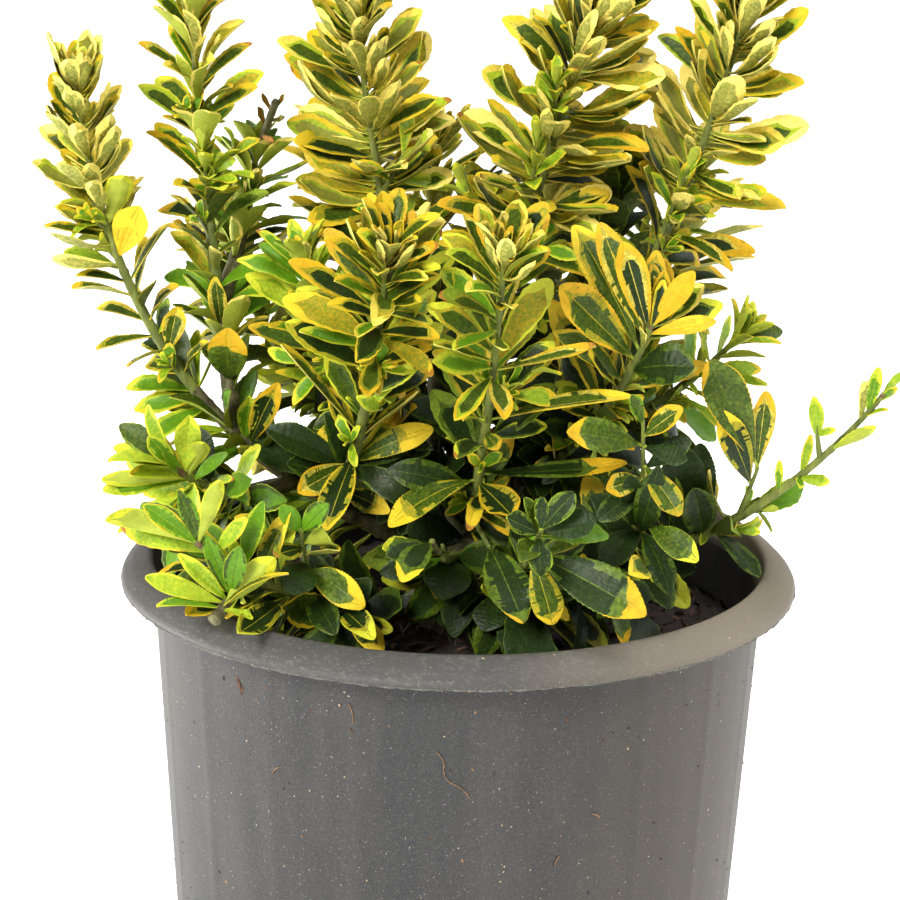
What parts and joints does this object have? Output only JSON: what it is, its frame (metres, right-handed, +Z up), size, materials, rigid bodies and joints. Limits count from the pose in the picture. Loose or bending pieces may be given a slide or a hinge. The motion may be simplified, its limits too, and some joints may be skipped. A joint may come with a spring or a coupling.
{
  "type": "potted shrub",
  "caption": "Small evergreen spindle shrub with yellow-edged leaves on upright shoots, standing in a round grey plastic nursery pot filled with bark soil.",
  "frame": {"origin": "centre of the pot's flat underside", "axes": "+Z up along the pot's axis, -Y the front of the plant, +X its right; the far right shoot points to +X and the furthest left one to -X"},
  "size_m": [0.2364, 0.19, 0.323],
  "materials": {
    "pot": "grey moulded plastic, a little worn and dusty",
    "soil": "loose dark bark crumbs",
    "bark": "grey-green young bark with leaf scars",
    "leaves_cream": "leathery leaves, wide pale cream-yellow margins",
    "leaves_gold": "leathery leaves, golden margins round green",
    "leaves_green": "glossy dark green leaves with yellow tips",
    "leaves_lime": "young bright lime leaves with thin yellow edges"
  },
  "bodies": {
    "root": {"pot": "pot", "soil": "soil", "trunk": "bark", "bough_far_left": "bark", "bough_tall_left": "bark", "bough_left_side": "bark", "bough_tall_middle_left": "bark", "bough_behind_left": "bark", "bough_tall_middle_right": "bark", "bough_tall_right": "bark", "bough_front_left": "bark", "bough_front_middle": "bark", "bough_right_rosette": "bark", "bough_right_branch": "bark", "bough_right_small": "bark", "bough_low_left_front": "bark", "bough_low_left": "bark", "bough_low_front_left": "bark", "bough_low_middle": "bark", "bough_low_front": "bark", "bough_low_front_right": "bark", "bough_right_front": "bark", "bough_left_middle": "bark", "bough_behind_right": "bark", "bough_behind_middle": "bark", "bough_back_middle_left": "bark", "bough_back_left": "bark", "bough_back_right": "bark", "bough_back_middle_right": "bark", "bough_back_low_left": "bark", "bough_back_low_right": "bark", "leaves_far_left": "leaves_cream", "leaves_tall_left": "leaves_gold", "leaves_left_side": "leaves_green", "leaves_tall_middle_left": "leaves_cream", "leaves_behind_left": "leaves_cream", "leaves_tall_middle_right": "leaves_cream", "leaves_tall_right": "leaves_cream", "leaves_front_left": "leaves_gold", "leaves_front_middle": "leaves_gold", "leaves_right_rosette": "leaves_gold", "leaves_right_branch": "leaves_lime", "leaves_right_small": "leaves_lime", "leaves_low_left_front": "leaves_lime", "leaves_low_left": "leaves_lime", "leaves_low_front_left": "leaves_green", "leaves_low_middle": "leaves_green", "leaves_low_front": "leaves_green", "leaves_low_front_right": "leaves_green", "leaves_right_front": "leaves_green", "leaves_left_middle": "leaves_lime", "leaves_behind_right": "leaves_green", "leaves_behind_middle": "leaves_green", "leaves_back_middle_left": "leaves_gold", "leaves_back_left": "leaves_gold", "leaves_back_right": "leaves_gold", "leaves_back_middle_right": "leaves_gold", "leaves_back_low_left": "leaves_lime", "leaves_back_low_right": "leaves_green"}
  },
  "joints": []
}
